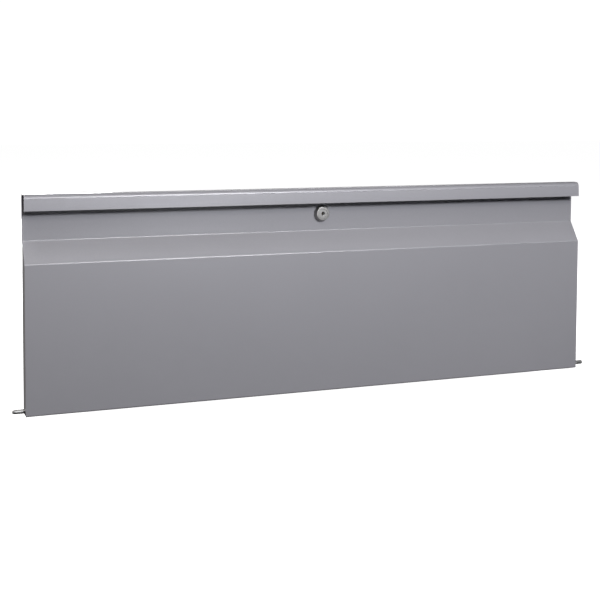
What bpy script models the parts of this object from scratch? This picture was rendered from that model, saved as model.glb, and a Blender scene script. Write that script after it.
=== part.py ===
"""Lockable drop-down kick plate that closes the space under the bottom shelf of a shelving unit.

A bent sheet-metal panel turns forward about two pins near its bottom edge. The left pin is sprung
and pulls back by its bent handle, the right pin is a fixed pivot, and a cam lock in the recessed
finger channel holds the panel shut. Metres, +X to the viewer's right, -Y to the front, +Z up.
The origin is the middle of the pivot axis.
"""

import math

import bmesh
import bpy
from mathutils import Matrix, Vector

# Overall sizes of the panel
PANEL_WIDTH = 0.905
PANEL_HEIGHT = 0.310
PANEL_DEPTH = 0.023
SHEET = 0.0015

# The panel's profile, as drops below its top edge
LIP_HEIGHT = 0.023
LIP_LEAN = math.radians(3)
UPPER_BEND_DROP = 0.0662
LOWER_BEND_DROP = 0.0972
TOP_BEND_RADIUS = 0.0050
CREASE_RADIUS = 0.0022
BOTTOM_BEND_RADIUS = 0.0010

# Clearances
GAP = 0.0003
RUNNING_GAP = 0.0003
NOTCH_LEAVE = 0.0002

# Pivot pins, and the small parts that fit on them
PIN_RADIUS = 0.003175
PIN_REACH = 0.0175
PIN_TIP_LENGTH = 0.0045
PIN_TIP_RADIUS = PIN_RADIUS * 0.5
PIN_CHAMFER = 0.0006
GROOVE_DEPTH = 0.0007
HANDLE_BEND_RADIUS = PIN_RADIUS + 0.0048
HANDLE_HEIGHT = 0.036
HANDLE_OFFSET = 0.012
PIN_HEAD_RADIUS = PIN_RADIUS + 0.0026
PIN_HEAD_THICKNESS = 0.0022
WASHER_RADIUS = PIN_RADIUS + 0.002825
WASHER_THICKNESS = 0.0010
CLIP_RADIUS = PIN_RADIUS + 0.0022
CLIP_THICKNESS = 0.0008
CLIP_OPENING = math.radians(70)
SPRING_WIRE = 0.0009
SPRING_RADIUS = PIN_RADIUS + SPRING_WIRE / 2 + 0.0008
SPRING_TURNS = 9

# Pivot axis: behind the front face and above the bottom edge, clear of the washers
PIVOT_INSET = 2 * SHEET + GAP + WASHER_RADIUS + 0.0007
PIVOT_HEIGHT = WASHER_RADIUS + 0.0008

# Brackets that carry the pins, and the flanges around them
BRACKET_INSET = 0.0115
BRACKET_LENGTH = 0.0430
BRACKET_EAR_DEPTH = PANEL_DEPTH - 0.0040
BRACKET_RISE = 0.0180
BRACKET_BEND_RADIUS = 0.0015
NOTCH_MARGIN = HANDLE_OFFSET + 0.0120
BOTTOM_FLANGE_DEPTH = PANEL_DEPTH - 0.0025
END_FLANGE_WIDTH = 0.0220
END_BEND_RADIUS = 0.0015

# Cam lock: barrel and bezel
LOCK_DROP = 0.0400
LOCK_PROTRUSION = 0.0070
BARREL_RADIUS = 0.0094
BARREL_FLAT = BARREL_RADIUS - 0.0014
BARREL_LENGTH = 0.0130
BEZEL_BASE_RADIUS = BARREL_RADIUS + 0.0029
BEZEL_FACE_RADIUS = BARREL_RADIUS + 0.0011
BEZEL_EDGE = 0.0006
BEZEL_RIM = 0.0012

# Cam lock: plug, keyway and wafers
PLUG_RADIUS = BARREL_RADIUS - 0.0030
PLUG_RECESS = 0.0004
PLUG_GAP = 0.00015
KEYWAY_WIDTH = 0.0030
KEYWAY_HEIGHT = PLUG_RADIUS - 0.0010
KEYWAY_DEPTH = 0.0170
KEYWAY_MOUTH_RADIUS = KEYWAY_HEIGHT / 2 + 0.0001
KEYWAY_MOUTH_DEPTH = 0.0022
WAFER_COUNT = 5
WAFER_PITCH = 0.0026
WAFER_THICKNESS = 0.0011
WAFER_WIDTH = (PLUG_RADIUS - 0.0025) * 2
WAFER_HEIGHT = (PLUG_RADIUS - 0.0018) * 2
WAFER_WINDOW_WIDTH = 0.0034
WAFER_WINDOW_HEIGHT = WAFER_HEIGHT - 0.0036
WAFER_START = 0.0036
WAFER_GAP = 0.00025

# Cam lock: nut, washers, cam and screw
NUT_FLATS = (BARREL_RADIUS + 0.0033) * 2
NUT_THICKNESS = 0.0040
LOCK_WASHER_RADIUS = BARREL_RADIUS + 0.0024
LOCK_WASHER_THICKNESS = 0.0010
LOCK_WASHER_TEETH = 12
LOCK_WASHER_TOOTH = 0.0005
TAIL_HALF = 0.0033
TAIL_CORNER = 0.0042
STOP_RADIUS = BARREL_RADIUS - 0.0002
STOP_WAIST = PLUG_RADIUS + 0.0002
STOP_THICKNESS = 0.0016
LUG_HALF_ANGLE = math.radians(9)
LUG_LENGTH = 0.0015
LOCK_TURN = math.radians(90)
CAM_THICKNESS = 0.0025
CAM_REACH = 0.0330
CAM_HUB_RADIUS = STOP_RADIUS - 0.0007
CAM_TIP_RADIUS = 0.0070
CAM_STEP = 0.0030
CAM_STEP_START = BARREL_RADIUS + 0.0014
CAM_STEP_RISE = 0.0040
CAM_BEND_RADIUS = 0.0008
SCREW_RADIUS = 0.0020
SCREW_FLATS = 0.0080
SCREW_HEAD = 0.0034
SCREW_LENGTH = 0.0085
SCREW_CHAMFER = 0.0006
CAM_WASHER_RADIUS = 0.0062

# Planes worked out from the sizes above
FRONT_Y = -PIVOT_INSET
BACK_Y = FRONT_Y + PANEL_DEPTH
BOTTOM_Z = -PIVOT_HEIGHT
TOP_Z = BOTTOM_Z + PANEL_HEIGHT
HALF_WIDTH = PANEL_WIDTH / 2
WEB_FRONT_Y = BACK_Y - SHEET
FACE_BACK_Y = FRONT_Y + SHEET
UPPER_BEND_Z = TOP_Z - UPPER_BEND_DROP
LOWER_BEND_Z = TOP_Z - LOWER_BEND_DROP
LOCK_Z = TOP_Z - LOCK_DROP
OUTER_EAR_X = HALF_WIDTH - BRACKET_INSET
INNER_EAR_X = OUTER_EAR_X - BRACKET_LENGTH
NOTCH_LENGTH = BRACKET_INSET + BRACKET_LENGTH + NOTCH_MARGIN

ROUND_SIDES = 48
PIN_SIDES = 32
MATERIALS = {}


def clear_scene():
    for old in list(bpy.data.objects):
        bpy.data.objects.remove(old, do_unlink=True)


def material(name, colour, metallic, roughness):
    """A Principled material, made once for each name."""
    if name not in MATERIALS:
        made = bpy.data.materials.new(name)
        made.use_nodes = True
        shader = made.node_tree.nodes["Principled BSDF"]
        shader.inputs["Base Color"].default_value = (*colour, 1.0)
        shader.inputs["Metallic"].default_value = metallic
        shader.inputs["Roughness"].default_value = roughness
        MATERIALS[name] = made
    return MATERIALS[name]


def grey_paint(name):
    return material(name, (0.40, 0.40, 0.43), 0.35, 0.42)


def zinc(name):
    return material(name, (0.55, 0.56, 0.55), 0.9, 0.38)


def chrome(name):
    return material(name, (0.62, 0.61, 0.60), 1.0, 0.22)


def brass(name):
    return material(name, (0.62, 0.48, 0.22), 1.0, 0.35)


def spring_steel(name):
    return material(name, (0.32, 0.32, 0.33), 0.95, 0.35)


def add_object(name, mesh_builder, finish, smooth_angle=35):
    """Turns a bmesh into a named object with its material and smooth round faces."""
    bmesh.ops.recalc_face_normals(mesh_builder, faces=mesh_builder.faces)
    mesh = bpy.data.meshes.new(name)
    mesh_builder.to_mesh(mesh)
    mesh_builder.free()
    mesh.shade_smooth()
    mesh.set_sharp_from_angle(angle=math.radians(smooth_angle))
    made = bpy.data.objects.new(name, mesh)
    bpy.context.scene.collection.objects.link(made)
    if finish is not None:
        mesh.materials.append(finish)
    return made


def hide_cutter(cutter):
    cutter.hide_render = True
    cutter.display_type = "WIRE"


def cut(target, cutter, operation="DIFFERENCE"):
    """Adds an exact Boolean that keeps the cutter as a hidden guide."""
    hide_cutter(cutter)
    step = target.modifiers.new(cutter.name, "BOOLEAN")
    step.operation = operation
    step.solver = "EXACT"
    step.object = cutter


def box_mesh(low, high):
    shape = bmesh.new()
    bmesh.ops.create_cube(shape, size=1.0)
    size = Vector(high) - Vector(low)
    middle = (Vector(high) + Vector(low)) / 2
    stretch = Matrix.Translation(middle) @ Matrix.Diagonal((*size, 1.0))
    bmesh.ops.transform(shape, matrix=stretch, verts=shape.verts)
    return shape


def box(name, low, high, finish=None):
    return add_object(name, box_mesh(low, high), finish)


def extruded(name, outline, start, end, place, finish=None):
    """A closed outline of (a, b) points pushed from start to end; place(a, b, c) gives the 3-D point."""
    shape = bmesh.new()
    near = [shape.verts.new(place(a, b, start)) for a, b in outline]
    far = [shape.verts.new(place(a, b, end)) for a, b in outline]
    shape.faces.new(near)
    shape.faces.new(list(reversed(far)))
    count = len(outline)
    for i in range(count):
        j = (i + 1) % count
        shape.faces.new((near[i], far[i], far[j], near[j]))
    return add_object(name, shape, finish)


def swept_rings(name, rings, finish=None, closed=False, smooth_angle=35):
    """Joins equal rings of points in order, with end caps, or as a closed loop of rings."""
    shape = bmesh.new()
    loops = [[shape.verts.new(p) for p in ring] for ring in rings]
    last = len(loops) if closed else len(loops) - 1
    for i in range(last):
        here, there = loops[i], loops[(i + 1) % len(loops)]
        for k in range(len(here)):
            n = (k + 1) % len(here)
            shape.faces.new((here[k], here[n], there[n], there[k]))
    if not closed:
        shape.faces.new(loops[0])
        shape.faces.new(list(reversed(loops[-1])))
    return add_object(name, shape, finish, smooth_angle)


def bent_path(corners, radii, segments=6):
    """Points and left-hand normals along straight runs joined by arcs of the given middle radii."""
    points = [Vector(c) for c in corners]
    path = []

    def note(point, direction):
        path.append((point.copy(), Vector((-direction.y, direction.x))))

    first = (points[1] - points[0]).normalized()
    note(points[0], first)
    for i in range(1, len(points) - 1):
        arrive = (points[i] - points[i - 1]).normalized()
        leave = (points[i + 1] - points[i]).normalized()
        turn = math.atan2(arrive.x * leave.y - arrive.y * leave.x, arrive.dot(leave))
        setback = radii[i - 1] * math.tan(abs(turn) / 2)
        start = points[i] - arrive * setback
        side = math.copysign(1.0, turn)
        centre = start + Vector((-arrive.y, arrive.x)) * side * radii[i - 1]
        for step in range(segments + 1):
            turned = Matrix.Rotation(turn * step / segments, 2)
            note(centre + turned @ (start - centre), turned @ arrive)
    last = (points[-1] - points[-2]).normalized()
    note(points[-1], last)
    return path


def sheet_outline(corners, inner_radii, thickness, segments=6):
    """The closed outline of a bent sheet whose middle line has the given corners."""
    half = thickness / 2
    path = bent_path(corners, [r + half for r in inner_radii], segments)
    left = [point + normal * half for point, normal in path]
    right = [point - normal * half for point, normal in path]
    return [(p.x, p.y) for p in left + right[::-1]]


def along_x(y, z, x):
    return (x, y, z)


def along_z(x, y, z):
    return (x, y, z)


def clamped_circle(radius, flat_x=None, flat_z=None, sides=ROUND_SIDES):
    """A circle of (x, z) points with flats where a coordinate would pass its limit."""
    points = []
    for k in range(sides):
        angle = 2 * math.pi * (k + 0.5) / sides
        x, z = radius * math.sin(angle), radius * math.cos(angle)
        if flat_x is not None:
            x = max(-flat_x, min(flat_x, x))
        if flat_z is not None:
            z = max(-flat_z, min(flat_z, z))
        points.append((x, z))
    return points


def lock_ring(points, y):
    """(x, z) points about the lock's axis, as 3-D points at depth y."""
    return [(x, y, LOCK_Z + z) for x, z in points]


def pin_ring(x, radius, sides=PIN_SIDES):
    """A circle about the pivot axis at x."""
    turns = [2 * math.pi * k / sides for k in range(sides)]
    return [(x, radius * math.cos(t), radius * math.sin(t)) for t in turns]


def pin_hole(name, x_low, x_high):
    """A cutter for a hole that a pivot pin turns or slides in."""
    radius = PIN_RADIUS + RUNNING_GAP
    return swept_rings(name, [pin_ring(x_low, radius), pin_ring(x_high, radius)])


# ---------------------------------------------------------------- panel


def front_panel():
    """Lip, top flange, web, slope, main face and bottom flange, bent from one sheet."""
    half = SHEET / 2
    lean = math.tan(LIP_LEAN) * (LIP_HEIGHT - half)
    corners = [
        (FRONT_Y + half, TOP_Z - LIP_HEIGHT),
        (FRONT_Y + half + lean, TOP_Z - half),
        (BACK_Y - half, TOP_Z - half),
        (BACK_Y - half, UPPER_BEND_Z),
        (FRONT_Y + half, LOWER_BEND_Z),
        (FRONT_Y + half, BOTTOM_Z + half),
        (FRONT_Y + BOTTOM_FLANGE_DEPTH, BOTTOM_Z + half),
    ]
    radii = [TOP_BEND_RADIUS, TOP_BEND_RADIUS, CREASE_RADIUS, CREASE_RADIUS, BOTTOM_BEND_RADIUS]
    outline = sheet_outline(corners, radii, SHEET)
    panel = extruded("front_panel", outline, -HALF_WIDTH, HALF_WIDTH, along_x, grey_paint("panel_paint"))
    hole = clamped_circle(BARREL_RADIUS + GAP, flat_x=BARREL_FLAT + GAP)
    depths = (WEB_FRONT_Y - SHEET, BACK_Y + SHEET)
    cut(panel, swept_rings("lock_hole_cutter", [lock_ring(hole, y) for y in depths]))
    for side, name in ((-1, "left_notch_cutter"), (1, "right_notch_cutter")):
        ends = sorted((side * (HALF_WIDTH - NOTCH_LENGTH), side * (HALF_WIDTH + SHEET)))
        low = (ends[0], FACE_BACK_Y + NOTCH_LEAVE, BOTTOM_Z - SHEET)
        high = (ends[1], BACK_Y, BOTTOM_Z + SHEET + BOTTOM_BEND_RADIUS + NOTCH_LEAVE)
        cut(panel, box(name, low, high))
    return panel


def slope_clearance_cutter(name, x_low, x_high):
    """Takes away everything in front of the slope's rear surface, with the usual gap."""
    low = Vector((FRONT_Y + SHEET / 2, LOWER_BEND_Z))
    high = Vector((BACK_Y - SHEET / 2, UPPER_BEND_Z))
    along = (high - low).normalized()
    behind = Vector((along.y, -along.x)) * (SHEET / 2 + GAP)
    spare = along * PANEL_DEPTH
    start, end = low + behind - spare, high + behind + spare
    front = -Vector((along.y, -along.x)) * PANEL_DEPTH * 2
    outline = [tuple(p) for p in (start, end, end + front, start + front)]
    return extruded(name, outline, x_low, x_high, along_x)


def end_plate(name, side):
    """An angle that closes the end of the panel below the web: side leg and inward rear leg."""
    half = SHEET / 2
    front = FACE_BACK_Y + GAP
    corners = [
        (side * (HALF_WIDTH - half), front),
        (side * (HALF_WIDTH - half), BACK_Y - half),
        (side * (HALF_WIDTH - END_FLANGE_WIDTH), BACK_Y - half),
    ]
    low = BOTTOM_Z + SHEET
    high = UPPER_BEND_Z
    outline = sheet_outline(corners, [END_BEND_RADIUS], SHEET)
    plate = extruded(name, outline, low, high, along_z, grey_paint("end_plate_paint"))
    ends = sorted((side * (HALF_WIDTH + SHEET), side * (HALF_WIDTH - END_FLANGE_WIDTH - SHEET)))
    cut(plate, slope_clearance_cutter(name + "_slope_cutter", *ends))
    hole_ends = sorted((side * (HALF_WIDTH + SHEET), side * (HALF_WIDTH - 2 * SHEET)))
    cut(plate, pin_hole(name + "_hole_cutter", *hole_ends))
    return plate


def pin_bracket(name, side):
    """A U of sheet on the back of the face, whose two ears carry a pivot pin."""
    half = SHEET / 2
    base = FACE_BACK_Y + GAP + half
    ear_end = FRONT_Y + BRACKET_EAR_DEPTH
    corners = [
        (side * (OUTER_EAR_X - half), ear_end),
        (side * (OUTER_EAR_X - half), base),
        (side * (INNER_EAR_X + half), base),
        (side * (INNER_EAR_X + half), ear_end),
    ]
    low = BOTTOM_Z + GAP
    outline = sheet_outline(corners, [BRACKET_BEND_RADIUS] * 2, SHEET)
    bracket = extruded(name, outline, low, BRACKET_RISE, along_z, zinc("bracket_zinc"))
    for ear_x, part in ((OUTER_EAR_X, "outer"), (INNER_EAR_X, "inner")):
        ends = sorted((side * (ear_x + 2 * SHEET), side * (ear_x - 2 * SHEET)))
        cut(bracket, pin_hole(f"{name}_{part}_cutter", *ends))
    return bracket


# ---------------------------------------------------------------- pins


def sprung_clip_x():
    """Where the sprung pin's clip starts, just inboard of the outer ear."""
    return -(OUTER_EAR_X - SHEET) + GAP


def groove_rings(x_start, ring):
    """Four rings that sink a clip groove into a pin from x_start towards +X."""
    x_end = x_start + CLIP_THICKNESS + 2 * GAP
    inner = PIN_RADIUS - GROOVE_DEPTH
    return [ring(x_start, PIN_RADIUS), ring(x_start, inner), ring(x_end, inner), ring(x_end, PIN_RADIUS)]


def left_hinge_pin():
    """The sprung pin: bullet tip, clip groove, and an inner end bent up as a pull handle."""
    tip = -(HALF_WIDTH + PIN_REACH)
    rings = [
        pin_ring(tip, PIN_TIP_RADIUS),
        pin_ring(tip + PIN_TIP_LENGTH * 0.35, PIN_TIP_RADIUS + (PIN_RADIUS - PIN_TIP_RADIUS) * 0.62),
        pin_ring(tip + PIN_TIP_LENGTH * 0.7, PIN_TIP_RADIUS + (PIN_RADIUS - PIN_TIP_RADIUS) * 0.92),
        pin_ring(tip + PIN_TIP_LENGTH, PIN_RADIUS),
    ]
    rings += groove_rings(sprung_clip_x() - GAP, pin_ring)
    bend_x = -INNER_EAR_X + HANDLE_OFFSET
    steps = 8
    for step in range(steps + 1):
        turn = math.pi / 2 * step / steps
        across = PIN_RADIUS
        ring = []
        for k in range(PIN_SIDES):
            t = 2 * math.pi * k / PIN_SIDES
            reach = HANDLE_BEND_RADIUS - across * math.sin(t)
            ring.append((bend_x + reach * math.sin(turn), across * math.cos(t),
                         HANDLE_BEND_RADIUS - reach * math.cos(turn)))
        rings.append(ring)
    top = [(x, y, HANDLE_HEIGHT - GAP) for x, y, _ in rings[-1]]
    middle = Vector((bend_x + HANDLE_BEND_RADIUS, 0.0, HANDLE_HEIGHT))
    cap = [tuple(middle + (Vector((x, y, HANDLE_HEIGHT)) - middle) * 0.8) for x, y, _ in top]
    return swept_rings("left_hinge_pin", rings + [top, cap], zinc("pin_zinc"))


def right_groove_x():
    """Where the fixed pin's clip groove starts, just outboard of the outer ear."""
    return OUTER_EAR_X + GAP + WASHER_THICKNESS


def right_hinge_pin():
    """The fixed pivot pin: plain outer end, clip groove and a round head inboard of the inner ear."""
    head_end = INNER_EAR_X - GAP
    head_start = head_end - PIN_HEAD_THICKNESS
    rings = [
        pin_ring(head_start, PIN_HEAD_RADIUS - PIN_CHAMFER),
        pin_ring(head_start + PIN_CHAMFER, PIN_HEAD_RADIUS),
        pin_ring(head_end, PIN_HEAD_RADIUS),
        pin_ring(head_end, PIN_RADIUS),
    ]
    rings += groove_rings(right_groove_x(), pin_ring)
    tip = HALF_WIDTH + PIN_REACH
    rings += [pin_ring(tip - PIN_CHAMFER, PIN_RADIUS), pin_ring(tip, PIN_RADIUS - PIN_CHAMFER)]
    return swept_rings("right_hinge_pin", rings, zinc("pin_zinc"))


def washer_on_pin(name, x_start):
    inner = PIN_RADIUS + RUNNING_GAP
    x_end = x_start + WASHER_THICKNESS
    rings = [pin_ring(x_start, inner), pin_ring(x_start, WASHER_RADIUS),
             pin_ring(x_end, WASHER_RADIUS), pin_ring(x_end, inner)]
    return swept_rings(name, rings, zinc("washer_zinc"), closed=True)


def clip_on_pin(name, x_start):
    """An open spring ring that sits in a pin's groove, with its mouth towards the back."""
    inner = PIN_RADIUS - GROOVE_DEPTH + GAP
    steps = 28
    rings = []
    for step in range(steps + 1):
        turn = CLIP_OPENING / 2 + (2 * math.pi - CLIP_OPENING) * step / steps
        c, s = math.cos(turn), math.sin(turn)
        x_end = x_start + CLIP_THICKNESS
        rings.append([(x_start, inner * c, inner * s), (x_start, CLIP_RADIUS * c, CLIP_RADIUS * s),
                      (x_end, CLIP_RADIUS * c, CLIP_RADIUS * s), (x_end, inner * c, inner * s)])
    return swept_rings(name, rings, spring_steel("clip_steel"))


def spring_span():
    """The sprung pin's spring runs from its washer to the inner ear."""
    start = sprung_clip_x() + CLIP_THICKNESS + GAP + WASHER_THICKNESS + GAP
    return start, -INNER_EAR_X - SHEET - GAP


def left_pin_spring():
    """A compression coil with a closed turn at each end."""
    start, end = spring_span()
    wire = SPRING_WIRE / 2
    start, end = start + wire, end - wire
    per_turn, wire_sides = 16, 8
    steps = SPRING_TURNS * per_turn
    closed_rise = SPRING_WIRE * 1.08
    open_turns = SPRING_TURNS - 2
    open_rise = (end - start - 2 * closed_rise) / open_turns

    def advance(turns):
        first = min(turns, 1.0) * closed_rise
        middle = min(max(turns - 1.0, 0.0), open_turns) * open_rise
        last = max(turns - 1.0 - open_turns, 0.0) * closed_rise
        return start + first + middle + last

    rings = []
    for step in range(steps + 1):
        angle = 2 * math.pi * step / per_turn
        x = advance(step / per_turn)
        ring = []
        for k in range(wire_sides):
            t = 2 * math.pi * k / wire_sides
            radius = SPRING_RADIUS + wire * math.cos(t)
            ring.append((x + wire * math.sin(t), radius * math.cos(angle), radius * math.sin(angle)))
        rings.append(ring)
    return swept_rings("left_pin_spring", rings, spring_steel("spring_steel"), smooth_angle=60)


# ---------------------------------------------------------------- cam lock


def lock_depths():
    """Depths of the lock's pieces, from its face to the cam screw's head."""
    depth = {"base": WEB_FRONT_Y - GAP}
    depth["face"] = depth["base"] - LOCK_PROTRUSION
    depth["barrel_end"] = BACK_Y + BARREL_LENGTH
    depth["washer"] = BACK_Y + GAP
    depth["nut"] = depth["washer"] + LOCK_WASHER_THICKNESS + GAP
    depth["plug_face"] = depth["face"] + PLUG_RECESS
    depth["shoulder"] = depth["barrel_end"] + GAP
    depth["stop"] = depth["shoulder"] + GAP
    depth["cam"] = depth["stop"] + STOP_THICKNESS + GAP
    depth["tail_end"] = depth["cam"] + CAM_THICKNESS - GAP
    depth["cam_washer"] = depth["cam"] + CAM_THICKNESS + GAP
    depth["screw_head"] = depth["cam_washer"] + WASHER_THICKNESS + GAP
    return depth


def lock_housing(depth):
    """Conical bezel and double-D barrel around the plug's bore, with a stop lug at the rear."""
    bore = clamped_circle(PLUG_RADIUS + PLUG_GAP)
    barrel = clamped_circle(BARREL_RADIUS, flat_x=BARREL_FLAT)
    edge_y = depth["face"] + BEZEL_EDGE
    rim_y = depth["base"] - BEZEL_RIM
    rings = [
        lock_ring(bore, depth["face"]),
        lock_ring(clamped_circle(BEZEL_FACE_RADIUS - BEZEL_EDGE), depth["face"]),
        lock_ring(clamped_circle(BEZEL_FACE_RADIUS), edge_y),
        lock_ring(clamped_circle(BEZEL_BASE_RADIUS), rim_y),
        lock_ring(clamped_circle(BEZEL_BASE_RADIUS), depth["base"]),
        lock_ring(barrel, depth["base"]),
        lock_ring(barrel, depth["barrel_end"]),
        lock_ring(bore, depth["barrel_end"]),
    ]
    housing = swept_rings("lock_housing", rings, chrome("lock_chrome"), closed=True)
    inner, outer = STOP_WAIST + GAP, BARREL_RADIUS - GAP
    steps = 4
    turns = [math.pi - LUG_HALF_ANGLE + 2 * LUG_HALF_ANGLE * k / steps for k in range(steps + 1)]
    outline = [(outer * math.sin(t), outer * math.cos(t)) for t in turns]
    outline += [(inner * math.sin(t), inner * math.cos(t)) for t in reversed(turns)]
    start, end = depth["barrel_end"] - SHEET, depth["stop"] + LUG_LENGTH
    lug = swept_rings("stop_lug_union", [lock_ring(outline, start), lock_ring(outline, end)])
    cut(housing, lug, "UNION")
    return housing


def wafer_start(depth, index):
    return depth["plug_face"] + WAFER_START + index * WAFER_PITCH


def lock_plug(depth):
    """The turning core: keyway, wafer slots, square tail and a screw hole."""
    body = clamped_circle(PLUG_RADIUS)
    tail = clamped_circle(TAIL_CORNER, flat_x=TAIL_HALF, flat_z=TAIL_HALF)
    hole = clamped_circle(SCREW_RADIUS + GAP)
    rings = [
        lock_ring(body, depth["plug_face"]),
        lock_ring(body, depth["shoulder"]),
        lock_ring(tail, depth["shoulder"]),
        lock_ring(tail, depth["tail_end"]),
        lock_ring(hole, depth["tail_end"]),
        lock_ring(hole, depth["screw_head"] - SCREW_LENGTH - GAP),
    ]
    plug = swept_rings("lock_plug", rings, chrome("lock_chrome"))
    face, half_w, half_h = depth["plug_face"], KEYWAY_WIDTH / 2, KEYWAY_HEIGHT / 2
    cut(plug, box("keyway_cutter", (-half_w, face - GAP, LOCK_Z - half_h),
                  (half_w, face + KEYWAY_DEPTH, LOCK_Z + half_h)))
    mouth = clamped_circle(KEYWAY_MOUTH_RADIUS)
    rings = [lock_ring(mouth, face - GAP), lock_ring(mouth, face + KEYWAY_MOUTH_DEPTH)]
    cut(plug, swept_rings("keyway_mouth_cutter", rings))
    half_w = WAFER_WIDTH / 2 + WAFER_GAP
    for index in range(WAFER_COUNT):
        start = wafer_start(depth, index) - WAFER_GAP
        end = start + WAFER_THICKNESS + 2 * WAFER_GAP
        cut(plug, box(f"wafer_slot_cutter_{index + 1}", (-half_w, start, LOCK_Z - PLUG_RADIUS * 1.1),
                      (half_w, end, LOCK_Z + PLUG_RADIUS * 1.1)))
    return plug


def rectangle_points(width, height):
    half_w, half_h = width / 2, height / 2
    return [(-half_w, -half_h), (half_w, -half_h), (half_w, half_h), (-half_w, half_h)]


def wafer(depth, index):
    """A flat tumbler with a window for the key."""
    start = wafer_start(depth, index)
    end = start + WAFER_THICKNESS
    outer = rectangle_points(WAFER_WIDTH, WAFER_HEIGHT)
    window = rectangle_points(WAFER_WINDOW_WIDTH, WAFER_WINDOW_HEIGHT)
    rings = [lock_ring(window, start), lock_ring(outer, start)]
    rings += [lock_ring(outer, end), lock_ring(window, end)]
    return swept_rings(f"lock_wafer_{index + 1}", rings, brass("wafer_brass"), closed=True)


def polygon_radius(angle, flats, sides):
    """The radius of a regular polygon with the given distance across its flats."""
    step = 2 * math.pi / sides
    return flats / 2 / math.cos((angle + step / 2) % step - step / 2)


def profile_points(radius_at, sides=ROUND_SIDES):
    angles = [2 * math.pi * k / sides for k in range(sides)]
    return [(radius_at(a) * math.sin(a), radius_at(a) * math.cos(a)) for a in angles]


def flat_ring(name, outer, inner, start, thickness, finish):
    """A flat ring about the lock's axis between two outlines with the same number of points."""
    end = start + thickness
    rings = [lock_ring(inner, start), lock_ring(outer, start), lock_ring(outer, end), lock_ring(inner, end)]
    return swept_rings(name, rings, finish, closed=True)


def lock_nut(depth):
    outer = profile_points(lambda a: polygon_radius(a, NUT_FLATS, 6))
    inner = profile_points(lambda a: BARREL_RADIUS + GAP)
    return flat_ring("lock_nut", outer, inner, depth["nut"], NUT_THICKNESS, zinc("nut_zinc"))


def lock_washer(depth):
    """A spring washer with teeth around its rim."""
    sides = LOCK_WASHER_TEETH * 4

    def rim(angle):
        tooth = math.copysign(LOCK_WASHER_TOOTH, math.cos(LOCK_WASHER_TEETH * angle + 0.8))
        return LOCK_WASHER_RADIUS + tooth

    outer = profile_points(rim, sides)
    inner = profile_points(lambda a: BARREL_RADIUS + GAP, sides)
    return flat_ring("lock_washer", outer, inner, depth["washer"], LOCK_WASHER_THICKNESS, zinc("nut_zinc"))


def square_hole(sides=ROUND_SIDES):
    """The outline of a square hole that fits over the plug's tail."""
    reach = TAIL_HALF + GAP
    corner = TAIL_CORNER + GAP

    def radius(angle):
        return min(corner, reach / max(abs(math.sin(angle)), abs(math.cos(angle))))

    return profile_points(radius, sides)


def stop_washer(depth):
    """A disc whose notched rim meets the housing's lug at each end of the key's turn."""
    sides = 72
    spare = math.radians(2)
    notch_start = math.pi - LUG_HALF_ANGLE - spare - LOCK_TURN
    notch_end = math.pi + LUG_HALF_ANGLE + spare

    def rim(angle):
        return STOP_WAIST if notch_start < angle < notch_end else STOP_RADIUS

    outer, inner = profile_points(rim, sides), square_hole(sides)
    return flat_ring("stop_washer", outer, inner, depth["stop"], STOP_THICKNESS, zinc("nut_zinc"))


def cam_plan():
    """The cam's outline from the front: a round hub that narrows to a round tip."""
    tip_z = CAM_REACH - CAM_TIP_RADIUS
    lean = math.asin((CAM_HUB_RADIUS - CAM_TIP_RADIUS) / tip_z)
    steps = 14
    outline = []
    for k in range(steps + 1):
        t = -math.pi / 2 + lean + (math.pi - 2 * lean) * k / steps
        outline.append((CAM_TIP_RADIUS * math.sin(t), tip_z + CAM_TIP_RADIUS * math.cos(t)))
    for k in range(steps + 1):
        t = math.pi / 2 - lean + (math.pi + 2 * lean) * k / steps
        outline.append((CAM_HUB_RADIUS * math.sin(t), CAM_HUB_RADIUS * math.cos(t)))
    return outline


def lock_cam(depth):
    """A lever with a square hole, pointing up when locked, whose tip steps forward to the rail."""
    hub_y = depth["cam"] + CAM_THICKNESS / 2
    corners = [
        (hub_y, LOCK_Z - 2 * CAM_HUB_RADIUS),
        (hub_y, LOCK_Z + CAM_STEP_START),
        (hub_y - CAM_STEP, LOCK_Z + CAM_STEP_START + CAM_STEP_RISE),
        (hub_y - CAM_STEP, LOCK_Z + CAM_REACH + CAM_TIP_RADIUS),
    ]
    side_view = sheet_outline(corners, [CAM_BEND_RADIUS] * 2, CAM_THICKNESS, segments=3)
    width = 2 * CAM_HUB_RADIUS
    cam = extruded("lock_cam", side_view, -width, width, along_x, zinc("cam_zinc"))
    start, end = depth["cam"] - 2 * CAM_STEP, depth["cam"] + 2 * CAM_THICKNESS
    rings = [lock_ring(cam_plan(), start), lock_ring(cam_plan(), end)]
    cut(cam, swept_rings("cam_plan_guide", rings), "INTERSECT")
    rings = [lock_ring(square_hole(), start), lock_ring(square_hole(), end)]
    cut(cam, swept_rings("cam_hole_cutter", rings))
    return cam


def cam_washer(depth):
    outer = profile_points(lambda a: CAM_WASHER_RADIUS)
    inner = profile_points(lambda a: SCREW_RADIUS + GAP)
    return flat_ring("cam_washer", outer, inner, depth["cam_washer"], WASHER_THICKNESS, zinc("nut_zinc"))


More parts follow.
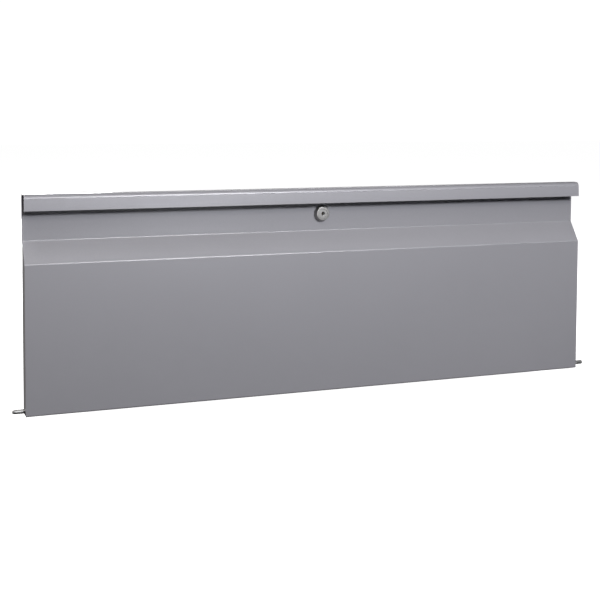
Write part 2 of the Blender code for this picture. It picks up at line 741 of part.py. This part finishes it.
def cam_screw(depth):
    """Hex-head screw that holds the cam on the plug's tail."""
    head = profile_points(lambda a: polygon_radius(a, SCREW_FLATS, 6))
    crown = profile_points(lambda a: min(SCREW_FLATS / 2, polygon_radius(a, SCREW_FLATS, 6)))
    shank = profile_points(lambda a: SCREW_RADIUS)
    shank_tip = profile_points(lambda a: SCREW_RADIUS - GAP)
    start = depth["screw_head"]
    rings = [
        lock_ring(shank_tip, start - SCREW_LENGTH + GAP),
        lock_ring(shank, start - SCREW_LENGTH + SCREW_CHAMFER),
        lock_ring(shank, start),
        lock_ring(head, start),
        lock_ring(head, start + SCREW_HEAD - SCREW_CHAMFER),
        lock_ring(crown, start + SCREW_HEAD),
    ]
    return swept_rings("cam_screw", rings, zinc("nut_zinc"), smooth_angle=25)


# ---------------------------------------------------------------- assembly


def pivot_empty(name, place):
    """An empty on a joint's axis; the moving pieces are its children."""
    empty = bpy.data.objects.new(name, None)
    empty.location = place
    bpy.context.scene.collection.objects.link(empty)
    return empty


def attach(pieces, empty):
    """Parents pieces to an empty and leaves them where they are."""
    shift = Matrix.Translation(-empty.location)
    for piece in pieces:
        piece.parent = empty
        piece.matrix_parent_inverse = shift


def build():
    clear_scene()
    depth = lock_depths()
    door = [front_panel(), end_plate("end_plate_left", -1), end_plate("end_plate_right", 1)]
    door += [pin_bracket("left_pin_bracket", -1), pin_bracket("right_pin_bracket", 1)]
    door += [lock_housing(depth), lock_nut(depth), lock_washer(depth), left_pin_spring()]
    clip_x = sprung_clip_x()
    sprung = [left_hinge_pin(), clip_on_pin("left_pin_clip", clip_x)]
    sprung.append(washer_on_pin("left_pin_washer", clip_x + CLIP_THICKNESS + GAP))
    right_hinge_pin()
    washer_on_pin("right_pin_washer", OUTER_EAR_X + GAP)
    clip_on_pin("right_pin_clip", right_groove_x() + GAP)
    core = [lock_plug(depth), stop_washer(depth), lock_cam(depth), cam_washer(depth), cam_screw(depth)]
    core += [wafer(depth, index) for index in range(WAFER_COUNT)]
    door_axis = pivot_empty("door_swing_axis", (0.0, 0.0, 0.0))
    attach(door, door_axis)
    attach(sprung, pivot_empty("left_pin_axis", (-HALF_WIDTH, 0.0, 0.0)))
    attach(core, pivot_empty("lock_turn_axis", (0.0, depth["base"], LOCK_Z)))


build()
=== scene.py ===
"""Looks for the lockable drop-down kick plate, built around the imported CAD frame."""

import math

import bmesh
import bpy
from mathutils import Matrix, Vector


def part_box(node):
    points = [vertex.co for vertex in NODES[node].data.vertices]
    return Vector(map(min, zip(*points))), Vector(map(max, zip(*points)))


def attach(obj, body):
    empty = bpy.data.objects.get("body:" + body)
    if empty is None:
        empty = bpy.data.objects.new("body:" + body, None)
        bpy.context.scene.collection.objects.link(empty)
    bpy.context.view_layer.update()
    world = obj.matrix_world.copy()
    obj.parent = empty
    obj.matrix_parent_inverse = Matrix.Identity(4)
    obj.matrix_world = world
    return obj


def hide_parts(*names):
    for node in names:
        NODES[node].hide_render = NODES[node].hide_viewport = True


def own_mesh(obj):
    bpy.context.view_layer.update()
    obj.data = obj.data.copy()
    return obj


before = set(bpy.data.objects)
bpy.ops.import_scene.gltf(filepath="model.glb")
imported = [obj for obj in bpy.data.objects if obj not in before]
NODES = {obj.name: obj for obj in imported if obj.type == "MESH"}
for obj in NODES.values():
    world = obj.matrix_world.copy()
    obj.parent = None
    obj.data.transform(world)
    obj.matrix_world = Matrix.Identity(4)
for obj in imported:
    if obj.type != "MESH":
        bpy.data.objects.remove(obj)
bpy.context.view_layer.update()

# Planes and sizes read from the frame
PANEL_LOW, PANEL_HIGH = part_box("front_panel")
FRONT_Y, BACK_Y = PANEL_LOW.y, PANEL_HIGH.y
BOTTOM_Z, TOP_Z = PANEL_LOW.z, PANEL_HIGH.z
HALF_WIDTH = PANEL_HIGH.x
HOUSING_LOW, HOUSING_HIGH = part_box("lock_housing")
PLUG_LOW, PLUG_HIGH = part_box("lock_plug")
LOCK_Z = (PLUG_LOW.z + PLUG_HIGH.z) / 2
SHEET = 0.0015
GAP = 0.0003

# The panel's profile, as the drops and radii of its bends
LIP_HEIGHT = 0.023
LIP_LEAN = math.radians(3.0)
UPPER_BEND_DROP = 0.0662
LOWER_BEND_DROP = 0.0972
TOP_BEND_RADIUS = 0.0050
CREASE_RADIUS = 0.0022
BOTTOM_BEND_RADIUS = 0.0010
BOTTOM_FLANGE_SETBACK = 0.0025
NOTCH_LENGTH = 0.0785
NOTCH_LEAVE = 0.0002
EDGE_BEVEL = 0.00022

# The smoothness of round pieces
LOCK_SIDES = 96
PIN_SIDES = 64
ROUND_STEPS = 5
SMOOTH_ANGLE = 35.0
SHEET_SMOOTH_ANGLE = 30.0

# The lock
BARREL_RADIUS = 0.0094
BARREL_FLAT = 0.0080
BARREL_LENGTH = 0.0130
THREAD_PITCH = 0.0010
THREAD_DEPTH = 0.00035
BEZEL_FACE_RADIUS = 0.0105
BEZEL_EDGE = 0.0006
BEZEL_STEPS = 6
BEZEL_RIM = 0.0012
BEZEL_BREAK = 0.0001
BORE_BREAK = 0.0002
PLUG_GAP = 0.00015
LUG_HALF_ANGLE = math.radians(9)
LUG_INNER_RADIUS = 0.0069
LUG_STEPS = 3
THREAD_START = 0.0002
THREAD_LEAVE = 0.0005
# Shares of the pitch where a thread's crest starts and ends, and where its root starts
THREAD_SHARES = (0.35, 0.55, 0.90)

# Pins and spring
PIN_RADIUS = 0.003175
PIN_TIP_LENGTH = 0.0045
PIN_TIP_RADIUS = PIN_RADIUS * 0.42
PIN_TIP_STEPS = 14
PIN_END_ROUND = 0.0006
PIN_HEAD_THICKNESS = 0.0022
PIN_HEAD_BREAK = 0.0001
GROOVE_DEPTH = 0.0007
HANDLE_END_ROUND = 0.0008
HANDLE_BEND_STEPS = 18
HANDLE_BEND_RADIUS = PIN_RADIUS + 0.0048
SPRING_WIRE = 0.0009
SPRING_RADIUS = PIN_RADIUS + SPRING_WIRE / 2 + 0.0008
SPRING_TURNS = 9
SPRING_STEPS = 32
SPRING_SIDES = 12
SPRING_CLOSED_RISE = SPRING_WIRE * 1.08

# ---------------------------------------------------------------- camera

CAMERA_PLACE = (-0.71593, -1.68589, 0.42620)
CAMERA_YAW = 0.3823
CAMERA_PITCH = 0.0606
CAMERA_ROLL = 0.0043
CAMERA_LENS = 72.454
CAMERA_SHIFT = (-0.00215, -0.2005)


def link(made):
    bpy.context.scene.collection.objects.link(made)
    return made


def make_camera():
    """A long lens to the left of the panel and a little above it."""
    cos_pitch = math.cos(CAMERA_PITCH)
    forward = Vector((math.sin(CAMERA_YAW) * cos_pitch, math.cos(CAMERA_YAW) * cos_pitch,
                      -math.sin(CAMERA_PITCH)))
    right = Vector((math.cos(CAMERA_YAW), -math.sin(CAMERA_YAW), 0.0))
    up = right.cross(forward)
    turned_right = right * math.cos(CAMERA_ROLL) + up * math.sin(CAMERA_ROLL)
    turned_up = up * math.cos(CAMERA_ROLL) - right * math.sin(CAMERA_ROLL)
    data = bpy.data.cameras.new("camera")
    data.lens = CAMERA_LENS
    data.sensor_width = 36.0
    data.shift_x, data.shift_y = CAMERA_SHIFT
    data.clip_start, data.clip_end = 0.05, 50.0
    made = link(bpy.data.objects.new("camera", data))
    matrix = Matrix((turned_right, turned_up, -forward)).transposed().to_4x4()
    matrix.translation = Vector(CAMERA_PLACE)
    made.matrix_world = matrix
    bpy.context.scene.camera = made


# ---------------------------------------------------------------- light and floor

FLOOR_HALF_SIZE = 12.0
FLOOR_GAP = 0.0004
FLOOR_GLOW = 0.99
WORLD_GLOW = 1.05
LIGHT_TARGET = Vector((0.0, 0.0, 0.2))
LIGHT_DISTANCE = 3.0
WARM = (1.0, 0.975, 0.93)
COOL = (0.945, 0.965, 1.0)
WHITE = (1.0, 1.0, 1.0)
# name: azimuth from the front towards the right, elevation, width, height, power, colour
LIGHTS = {
    "key": (11, 34, 0.9, 0.7, 20, WARM),
    "front": (14, 21.5, 0.9, 0.40, 47, COOL),
    "lip_glint": (12, 1, 0.36, 0.10, 3.0, COOL),
    "left_high": (-30, 50, 0.9, 0.7, 11, WARM),
    "left_top": (-60, 72, 0.9, 0.7, 13, WHITE),
    "left_side": (-102, 8, 0.9, 0.9, 40, WARM),
    "back": (160, 34, 1.6, 0.7, 15, WHITE),
    "back_low": (182, 4, 0.9, 0.6, 38, WHITE),
}


def area_light(name, place, size, power, colour):
    """A rectangular light at place, turned towards the target."""
    data = bpy.data.lights.new(name, "AREA")
    data.shape = "RECTANGLE"
    data.size, data.size_y = size
    data.energy = power
    data.color = colour
    made = link(bpy.data.objects.new(name, data))
    made.visible_camera = False
    made.location = place
    made.rotation_mode = "QUATERNION"
    made.rotation_quaternion = (LIGHT_TARGET - place).to_track_quat("-Z", "Y")


def make_lights():
    for name, (azimuth, elevation, width, height, power, colour) in LIGHTS.items():
        a, e = math.radians(azimuth), math.radians(elevation)
        out = Vector((math.sin(a) * math.cos(e), -math.cos(a) * math.cos(e), math.sin(e)))
        place = LIGHT_TARGET + out * LIGHT_DISTANCE
        area_light(name, place, (width, height), power, colour)


def make_floor():
    """A white floor just below the panel, shut or open, that neither lights it nor shows in it."""
    shape = bmesh.new()
    bmesh.ops.create_grid(shape, x_segments=1, y_segments=1, size=FLOOR_HALF_SIZE)
    mesh = bpy.data.meshes.new("floor")
    shape.to_mesh(mesh)
    shape.free()
    floor = link(bpy.data.objects.new("floor", mesh))
    floor.location = (0.0, 0.0, min(BOTTOM_Z, FRONT_Y) - FLOOR_GAP)
    white = bpy.data.materials.new("floor_white")
    white.use_nodes = True
    shader = white.node_tree.nodes["Principled BSDF"]
    shader.inputs["Base Color"].default_value = (0.9, 0.9, 0.9, 1.0)
    shader.inputs["Roughness"].default_value = 0.8
    shader.inputs["Emission Color"].default_value = (1.0, 1.0, 1.0, 1.0)
    shader.inputs["Emission Strength"].default_value = FLOOR_GLOW
    mesh.materials.append(white)
    floor.visible_diffuse = False
    floor.visible_glossy = False


def make_world():
    """A white backdrop that only the camera sees."""
    world = bpy.data.worlds.new("studio")
    world.use_nodes = True
    bpy.context.scene.world = world
    back = world.node_tree.nodes["Background"]
    back.inputs["Color"].default_value = (1.0, 1.0, 1.0, 1.0)
    back.inputs["Strength"].default_value = WORLD_GLOW
    world.cycles_visibility.diffuse = False
    world.cycles_visibility.glossy = False


# ---------------------------------------------------------------- materials


class Finish:
    """A Principled material whose textures all read the object's own metres."""

    def __init__(self, name, colour, metallic, roughness):
        self.material = bpy.data.materials.new(name)
        self.material.use_nodes = True
        self.tree = self.material.node_tree
        self.shader = self.tree.nodes["Principled BSDF"]
        self.set("Base Color", (*colour, 1.0))
        self.set("Metallic", metallic)
        self.set("Roughness", roughness)
        self.colour = colour
        self.roughness = roughness
        self.place = self.tree.nodes.new("ShaderNodeTexCoord").outputs["Object"]

    def set(self, name, value):
        self.shader.inputs[name].default_value = value

    def node(self, kind, inputs=(), **settings):
        made = self.tree.nodes.new(kind)
        for key, value in settings.items():
            setattr(made, key, value)
        for key, value in dict(inputs).items():
            if isinstance(value, bpy.types.NodeSocket):
                self.tree.links.new(value, made.inputs[key])
            else:
                made.inputs[key].default_value = value
        return made

    def stretched(self, scale):
        """The place with each axis scaled, for grain that runs one way."""
        return self.node("ShaderNodeMapping", {"Vector": self.place, "Scale": scale}).outputs[0]

    def noise(self, scale, detail=2.0, rough=0.5, place=None):
        inputs = {"Vector": place or self.place, "Scale": scale, "Detail": detail, "Roughness": rough}
        return self.node("ShaderNodeTexNoise", inputs).outputs["Fac"]

    def ranged(self, value, low, high, start=0.3, end=0.7):
        inputs = {"Value": value, "From Min": start, "From Max": end, "To Min": low, "To Max": high}
        return self.node("ShaderNodeMapRange", inputs).outputs["Result"]

    def shade(self, *factors):
        """Links the colour, multiplied by each factor in turn."""
        total = factors[0]
        for factor in factors[1:]:
            total = self.node("ShaderNodeMath", {0: total, 1: factor}, operation="MULTIPLY").outputs[0]
        tinted = self.node("ShaderNodeVectorMath", {0: self.colour}, operation="SCALE")
        self.tree.links.new(total, tinted.inputs["Scale"])
        self.tree.links.new(tinted.outputs[0], self.shader.inputs["Base Color"])

    def rough(self, value, spread, start=0.3, end=0.7):
        """Links the roughness, which follows a texture either side of its usual value."""
        ranged = self.ranged(value, self.roughness - spread, self.roughness + spread, start, end)
        self.tree.links.new(ranged, self.shader.inputs["Roughness"])

    def bump(self, *layers):
        """Each layer is a texture and its height in metres."""
        normal = None
        for value, height in layers:
            inputs = {"Height": value, "Distance": height, "Strength": 1.0}
            if normal is not None:
                inputs["Normal"] = normal
            normal = self.node("ShaderNodeBump", inputs).outputs["Normal"]
        self.tree.links.new(normal, self.shader.inputs["Normal"])


def powder_coat(name, colour):
    """Satin silver-grey powder coat: fine orange peel, faint clouding and tiny flakes."""
    made = Finish(name, colour, 0.20, 0.50)
    made.set("Coat Weight", 0.6)
    made.set("Coat Roughness", 0.21)
    cloud = made.ranged(made.noise(5.0, 3.0), 0.985, 1.015)
    speck = made.ranged(made.noise(1800.0, 1.0), 0.94, 1.06)
    made.shade(cloud, speck)
    made.rough(made.noise(140.0, 2.0), 0.03)
    made.bump((made.noise(520.0, 2.0), 0.000012))
    return made.material


def zinc_plate(name, colour, roughness=0.36):
    """Bright zinc plate on rolled steel, with a faint mottle and fine roughness noise."""
    made = Finish(name, colour, 1.0, roughness)
    mottle = made.ranged(made.noise(260.0, 3.0), 0.88, 1.08)
    cloud = made.ranged(made.noise(40.0, 2.0), 0.93, 1.05)
    made.shade(mottle, cloud)
    made.rough(made.noise(420.0, 3.0), 0.09)
    made.bump((made.noise(900.0, 2.0), 0.000008))
    return made.material


def drawn_steel(name, colour, axis):
    """Zinc-plated drawn rod, with fine lines along its length."""
    made = Finish(name, colour, 0.80, 0.46)
    scale = [1.0, 1.0, 1.0]
    scale[axis] = 0.03
    lines = made.noise(1400.0, 2.0, place=made.stretched(scale))
    made.shade(made.ranged(lines, 0.86, 1.08), made.ranged(made.noise(120.0, 2.0), 0.94, 1.04))
    made.rough(lines, 0.08)
    made.bump((lines, 0.000010))
    return made.material


def satin_chrome(name, colour):
    """Satin chrome on a die casting, turned in fine rings about the lock's axis."""
    made = Finish(name, colour, 0.85, 0.42)
    centred = made.node("ShaderNodeMapping", {"Vector": made.place, "Location": (0.0, 0.0, -LOCK_Z)})
    squeezed = made.node("ShaderNodeMapping", {"Vector": centred.outputs[0], "Scale": (1.0, 0.0, 1.0)})
    length = made.node("ShaderNodeVectorMath", {0: squeezed.outputs[0]}, operation="LENGTH")
    rings = made.node("ShaderNodeTexNoise", {"W": length.outputs["Value"], "Scale": 5200.0, "Detail": 1.0},
                      noise_dimensions="1D").outputs["Fac"]
    made.shade(made.ranged(rings, 0.90, 1.06), made.ranged(made.noise(420.0, 2.0), 0.93, 1.05))
    made.rough(rings, 0.07)
    made.bump((rings, 0.000006))
    return made.material


def spring_wire(name):
    made = Finish(name, (0.30, 0.30, 0.31), 1.0, 0.34)
    made.shade(made.ranged(made.noise(700.0, 3.0), 0.75, 1.12))
    made.rough(made.noise(900.0, 2.0), 0.10)
    made.bump((made.noise(2200.0, 2.0), 0.000006))
    return made.material


def stamped_brass(name):
    made = Finish(name, (0.62, 0.46, 0.20), 1.0, 0.32)
    made.shade(made.ranged(made.noise(500.0, 3.0), 0.82, 1.08))
    made.rough(made.noise(1100.0, 2.0), 0.08)
    made.bump((made.noise(1500.0, 2.0), 0.000008))
    return made.material


# ---------------------------------------------------------------- mesh helpers


def sheet_path(corners, radii, segments):
    """Points and left normals along straight runs joined by arcs of the given middle radii."""
    points = [Vector(c) for c in corners]
    path = []

    def note(point, direction):
        path.append((point.copy(), Vector((-direction.y, direction.x))))

    note(points[0], (points[1] - points[0]).normalized())
    for i in range(1, len(points) - 1):
        arrive = (points[i] - points[i - 1]).normalized()
        leave = (points[i + 1] - points[i]).normalized()
        turn = math.atan2(arrive.x * leave.y - arrive.y * leave.x, arrive.dot(leave))
        start = points[i] - arrive * radii[i - 1] * math.tan(abs(turn) / 2)
        centre = start + Vector((-arrive.y, arrive.x)) * math.copysign(1.0, turn) * radii[i - 1]
        for step in range(segments + 1):
            turned = Matrix.Rotation(turn * step / segments, 2)
            note(centre + turned @ (start - centre), turned @ arrive)
    note(points[-1], (points[-1] - points[-2]).normalized())
    return path


def sheet_outline(corners, inner_radii, thickness, segments=12):
    half = thickness / 2
    path = sheet_path(corners, [r + half for r in inner_radii], segments)
    left = [point + normal * half for point, normal in path]
    right = [point - normal * half for point, normal in path]
    return [(p.x, p.y) for p in left + right[::-1]]


def finished(name, shape, material=None, smooth_angle=SHEET_SMOOTH_ANGLE):
    """Turns a bmesh into a linked object with its material and smooth round faces."""
    bmesh.ops.recalc_face_normals(shape, faces=shape.faces)
    mesh = bpy.data.meshes.new(name)
    shape.to_mesh(mesh)
    shape.free()
    mesh.shade_smooth()
    mesh.set_sharp_from_angle(angle=math.radians(smooth_angle))
    if material is not None:
        mesh.materials.append(material)
    return link(bpy.data.objects.new(name, mesh))


def ring_shape(rings, closed=False):
    """A skin over equal rings of points, capped at both ends or closed on itself."""
    shape = bmesh.new()
    loops = [[shape.verts.new(p) for p in ring] for ring in rings]
    for i in range(len(loops) if closed else len(loops) - 1):
        here, there = loops[i], loops[(i + 1) % len(loops)]
        for k in range(len(here)):
            n = (k + 1) % len(here)
            shape.faces.new((here[k], here[n], there[n], there[k]))
    if not closed:
        shape.faces.new(loops[0])
        shape.faces.new(list(reversed(loops[-1])))
    return shape


def extruded(name, outline, start, end, material=None):
    """A solid whose (y, z) outline runs along X from start to end."""
    return finished(name, ring_shape([[(x, y, z) for y, z in outline] for x in (start, end)]), material)


def box_cutter(name, low, high):
    outline = [(low[1], low[2]), (high[1], low[2]), (high[1], high[2]), (low[1], high[2])]
    return extruded(name, outline, low[0], high[0])


def applied(piece, cutters, operation="DIFFERENCE"):
    """Cuts each cutter out of the piece, or joins it on, for good."""
    for cutter in cutters:
        step = piece.modifiers.new("cut", "BOOLEAN")
        step.operation = operation
        step.solver = "EXACT"
        step.object = cutter
    bpy.context.view_layer.update()
    graph = bpy.context.evaluated_depsgraph_get()
    mesh = bpy.data.meshes.new_from_object(piece.evaluated_get(graph))
    piece.modifiers.clear()
    piece.data = mesh
    for cutter in cutters:
        bpy.data.objects.remove(cutter)
    mesh.shade_smooth()
    mesh.set_sharp_from_angle(angle=math.radians(SHEET_SMOOTH_ANGLE))


def round_edges(piece, width, angle):
    """Rounds each edge that is sharper than the angle."""
    step = piece.modifiers.new("round_edges", "BEVEL")
    step.width = width
    step.segments = 2
    step.limit_method = "ANGLE"
    step.angle_limit = math.radians(angle)


def stands_for(piece, body, node):
    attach(piece, body)
    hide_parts(node)


def lock_points(radius_at, y):
    """A ring about the lock's axis at depth y; radius_at gives its radius at each angle from the top."""
    turns = [2 * math.pi * (k + 0.5) / LOCK_SIDES for k in range(LOCK_SIDES)]
    return [(radius_at(t) * math.sin(t), y, LOCK_Z + radius_at(t) * math.cos(t)) for t in turns]


def round_ring(radius, y):
    return lock_points(lambda t: radius, y)


def flatted_ring(radius, flat, y):
    """A ring with a flat at each side, as on a double-D barrel."""
    return lock_points(lambda t: min(radius, flat / max(abs(math.sin(t)), 1e-6)), y)


def pin_ring(x, radius):
    turns = [2 * math.pi * k / PIN_SIDES for k in range(PIN_SIDES)]
    return [(x, radius * math.cos(t), radius * math.sin(t)) for t in turns]


def quarter_turn(steps, first=0):
    """The sine and cosine at equal steps through a right angle."""
    turns = [math.pi / 2 * k / steps for k in range(first, steps + 1)]
    return [(math.sin(t), math.cos(t)) for t in turns]


# ---------------------------------------------------------------- the panel


def panel_outline():
    """The (y, z) outline from the lip's lower edge round to the bottom flange's rear edge."""
    half = SHEET / 2
    lean = math.tan(LIP_LEAN) * (LIP_HEIGHT - half)
    return sheet_outline([
        (FRONT_Y + half, TOP_Z - LIP_HEIGHT),
        (FRONT_Y + half + lean, TOP_Z - half),
        (BACK_Y - half, TOP_Z - half),
        (BACK_Y - half, TOP_Z - UPPER_BEND_DROP),
        (FRONT_Y + half, TOP_Z - LOWER_BEND_DROP),
        (FRONT_Y + half, BOTTOM_Z + half),
        (BACK_Y - BOTTOM_FLANGE_SETBACK, BOTTOM_Z + half),
    ], [TOP_BEND_RADIUS, TOP_BEND_RADIUS, CREASE_RADIUS, CREASE_RADIUS, BOTTOM_BEND_RADIUS], SHEET)


def make_panel(material):
    """One bent sheet with the lock's hole, and a notch in its foot at each pin."""
    panel = extruded("panel_sheet", panel_outline(), -HALF_WIDTH, HALF_WIDTH, material)
    depths = (BACK_Y - 3 * SHEET, BACK_Y + 2 * SHEET)
    rings = [flatted_ring(BARREL_RADIUS + GAP, BARREL_FLAT + GAP, y) for y in depths]
    cutters = [finished("hole", ring_shape(rings))]
    for side in (-1, 1):
        ends = sorted((side * (HALF_WIDTH - NOTCH_LENGTH), side * (HALF_WIDTH + SHEET)))
        low = (ends[0], FRONT_Y + SHEET + NOTCH_LEAVE, BOTTOM_Z - SHEET)
        high = (ends[1], BACK_Y, BOTTOM_Z + SHEET + BOTTOM_BEND_RADIUS + NOTCH_LEAVE)
        cutters.append(box_cutter("notch", low, high))
    applied(panel, cutters)
    round_edges(panel, EDGE_BEVEL, 50.0)
    stands_for(panel, "door", "front_panel")


# ---------------------------------------------------------------- the lock


def barrel_ring(radius, y):
    return flatted_ring(radius, BARREL_FLAT, y)


def make_housing(material):
    """Turned bezel with soft edges, a threaded double-D barrel behind it and a stop lug at its end."""
    bore, rim = PLUG_HIGH.x + PLUG_GAP, HOUSING_HIGH.x
    face, base = HOUSING_LOW.y, BACK_Y - SHEET - GAP
    start, end = BACK_Y + THREAD_START, BACK_Y + BARREL_LENGTH
    root = BARREL_RADIUS - THREAD_DEPTH
    edge, corner = BEZEL_EDGE, BEZEL_BREAK
    rings = [round_ring(bore, face + BORE_BREAK), round_ring(bore + BORE_BREAK, face)]
    for sine, cosine in quarter_turn(BEZEL_STEPS):
        rings.append(round_ring(BEZEL_FACE_RADIUS - edge + edge * sine, face + edge - edge * cosine))
    rings += [round_ring(rim - corner, base - BEZEL_RIM), round_ring(rim, base - BEZEL_RIM + 2 * corner),
              round_ring(rim, base - corner), round_ring(rim - corner, base)]
    rings += [barrel_ring(root, base), barrel_ring(root, start)]
    for k in range(int((end - THREAD_LEAVE - start) / THREAD_PITCH)):
        low = start + k * THREAD_PITCH
        for share, radius in zip(THREAD_SHARES, (BARREL_RADIUS, BARREL_RADIUS, root)):
            rings.append(barrel_ring(radius, low + share * THREAD_PITCH))
    rings += [barrel_ring(root, end), round_ring(bore, end)]
    piece = finished("housing_casting", ring_shape(rings, closed=True), material, SMOOTH_ANGLE)
    inner, outer = LUG_INNER_RADIUS, BARREL_RADIUS - GAP
    turns = [math.pi + LUG_HALF_ANGLE * k / LUG_STEPS for k in range(-LUG_STEPS, LUG_STEPS + 1)]
    outline = [(outer * math.sin(t), LOCK_Z + outer * math.cos(t)) for t in turns]
    outline += [(inner * math.sin(t), LOCK_Z + inner * math.cos(t)) for t in reversed(turns)]
    lug = [[(x, y, z) for x, z in outline] for y in (end - SHEET, HOUSING_HIGH.y)]
    applied(piece, [finished("lug", ring_shape(lug), material)], "UNION")
    stands_for(piece, "door", "lock_housing")


# ---------------------------------------------------------------- pins and spring


def groove(clip):
    """Four rings that sink a clip's groove into its pin."""
    low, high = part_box(clip)
    start, end = low.x - GAP, high.x + GAP
    inner = PIN_RADIUS - GROOVE_DEPTH
    return [pin_ring(start, PIN_RADIUS), pin_ring(start, inner),
            pin_ring(end, inner), pin_ring(end, PIN_RADIUS)]


def make_left_pin(material):
    """Sprung pin: bullet tip, clip groove, and an inner end bent up as a pull handle."""
    low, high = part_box("left_hinge_pin")
    flat = PIN_TIP_RADIUS
    rings = [pin_ring(low.x, flat * 0.6), pin_ring(low.x + 0.00012, flat * 0.85)]
    for sine, cosine in quarter_turn(PIN_TIP_STEPS, first=1):
        radius = flat + (PIN_RADIUS - flat) * sine
        rings.append(pin_ring(low.x + PIN_TIP_LENGTH * (1.0 - cosine) + 0.00015, radius))
    rings += groove("left_pin_clip")
    bend_x = high.x - HANDLE_BEND_RADIUS - PIN_RADIUS
    for turn in quarter_turn(HANDLE_BEND_STEPS):
        rings.append(handle_ring(bend_x, turn, 0.0, PIN_RADIUS))
    soft = HANDLE_END_ROUND
    for sine, cosine in quarter_turn(ROUND_STEPS):
        rise = high.z - soft + soft * sine - HANDLE_BEND_RADIUS
        rings.append(handle_ring(bend_x, (1.0, 0.0), rise, PIN_RADIUS - soft + soft * cosine))
    piece = finished("left_pin_rod", ring_shape(rings), material, SMOOTH_ANGLE)
    stands_for(piece, "left_pin", "left_hinge_pin")


def handle_ring(bend_x, turn, rise, radius):
    """A ring at a turn of the handle's bend, given as its sine and cosine, and then raised."""
    sine, cosine = turn
    ring = []
    for _, across, up in pin_ring(0.0, radius):
        reach = HANDLE_BEND_RADIUS - up
        ring.append((bend_x + reach * sine, across, HANDLE_BEND_RADIUS - reach * cosine + rise))
    return ring


def make_right_pin(material):
    """Fixed pin: plain outer end, clip groove, and a round head inboard of its bracket."""
    low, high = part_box("right_hinge_pin")
    head, end = high.z, low.x + PIN_HEAD_THICKNESS
    soft, corner = PIN_END_ROUND, PIN_HEAD_BREAK
    rings = []
    for sine, cosine in quarter_turn(ROUND_STEPS):
        rings.append(pin_ring(low.x + soft - soft * cosine, head - soft + soft * sine))
    rings += [pin_ring(end - corner, head), pin_ring(end, head - corner), pin_ring(end, PIN_RADIUS)]
    rings += groove("right_pin_clip")
    for sine, cosine in quarter_turn(ROUND_STEPS - 1):
        rings.append(pin_ring(high.x - soft + soft * sine, PIN_RADIUS - soft + soft * cosine))
    piece = finished("right_pin_rod", ring_shape(rings), material, SMOOTH_ANGLE)
    stands_for(piece, "right_pivot", "right_hinge_pin")


def make_spring(material):
    """Compression coil with a closed turn at each end, on a mesh of its own."""
    low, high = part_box("left_pin_spring")
    wire = SPRING_WIRE / 2
    start, end = low.x + wire, high.x - wire
    open_turns = SPRING_TURNS - 2
    open_rise = (end - start - 2 * SPRING_CLOSED_RISE) / open_turns
    rings = []
    for step in range(SPRING_TURNS * SPRING_STEPS + 1):
        turns = step / SPRING_STEPS
        opened = min(max(turns - 1.0, 0.0), open_turns)
        x = start + (turns - opened) * SPRING_CLOSED_RISE + opened * open_rise
        angle = 2 * math.pi * turns
        ring = []
        for k in range(SPRING_SIDES):
            t = 2 * math.pi * k / SPRING_SIDES
            radius = SPRING_RADIUS + wire * math.cos(t)
            ring.append((x + wire * math.sin(t), radius * math.cos(angle), radius * math.sin(angle)))
        rings.append(ring)
    piece = finished("spring_coil", ring_shape(rings), material, 50.0)
    stands_for(piece, "door", "left_pin_spring")
    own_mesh(piece)


# ---------------------------------------------------------------- build

bpy.context.scene.view_settings.view_transform = "Standard"
make_camera()
make_floor()
make_world()
make_lights()

PAINT = powder_coat("powder_coat", (0.402, 0.396, 0.430))
# A copy of the panel's coat, about a tenth darker: painted shade for the end plates, which face away from
# the main lamps
END_SHADED_PAINT = powder_coat("end_powder_coat_painted_shade", (0.36, 0.355, 0.38))
BRACKET_ZINC = zinc_plate("bracket_zinc", (0.56, 0.57, 0.57), 0.40)
HARDWARE_ZINC = zinc_plate("hardware_zinc", (0.60, 0.59, 0.56), 0.32)
PIN_STEEL = drawn_steel("pin_steel", (0.46, 0.46, 0.46), 0)
CHROME = satin_chrome("lock_chrome", (0.48, 0.47, 0.46))
PLUG_CHROME = satin_chrome("plug_chrome", (0.50, 0.49, 0.48))
WIRE = spring_wire("spring_wire")
BRASS = stamped_brass("stamped_brass")
# node: its material, and the width of its rounded edges where it has any
FINISHES = {
    "front_panel": (PAINT, 0.0),
    "end_plate_left": (END_SHADED_PAINT, EDGE_BEVEL),
    "end_plate_right": (END_SHADED_PAINT, EDGE_BEVEL),
    "left_pin_bracket": (BRACKET_ZINC, EDGE_BEVEL),
    "right_pin_bracket": (BRACKET_ZINC, EDGE_BEVEL),
    "left_hinge_pin": (PIN_STEEL, 0.0),
    "right_hinge_pin": (PIN_STEEL, 0.0),
    "left_pin_clip": (WIRE, 0.0),
    "right_pin_clip": (WIRE, 0.0),
    "left_pin_spring": (WIRE, 0.0),
    "left_pin_washer": (HARDWARE_ZINC, 0.00010),
    "right_pin_washer": (HARDWARE_ZINC, 0.00010),
    "lock_housing": (CHROME, 0.0),
    "lock_plug": (PLUG_CHROME, 0.00012),
    "lock_washer": (HARDWARE_ZINC, 0.00010),
    "lock_nut": (HARDWARE_ZINC, 0.00030),
    "stop_washer": (HARDWARE_ZINC, 0.00012),
    "lock_cam": (HARDWARE_ZINC, 0.00030),
    "cam_washer": (HARDWARE_ZINC, 0.00010),
    "cam_screw": (HARDWARE_ZINC, 0.00015),
}
for name, node in NODES.items():
    material, bevel = FINISHES.get(name, (BRASS, 0.0))
    node.data.materials.clear()
    node.data.materials.append(material)
    if bevel:
        round_edges(node, bevel, 40.0)
make_panel(PAINT)
make_housing(CHROME)
make_left_pin(PIN_STEEL)
make_right_pin(PIN_STEEL)
make_spring(WIRE)
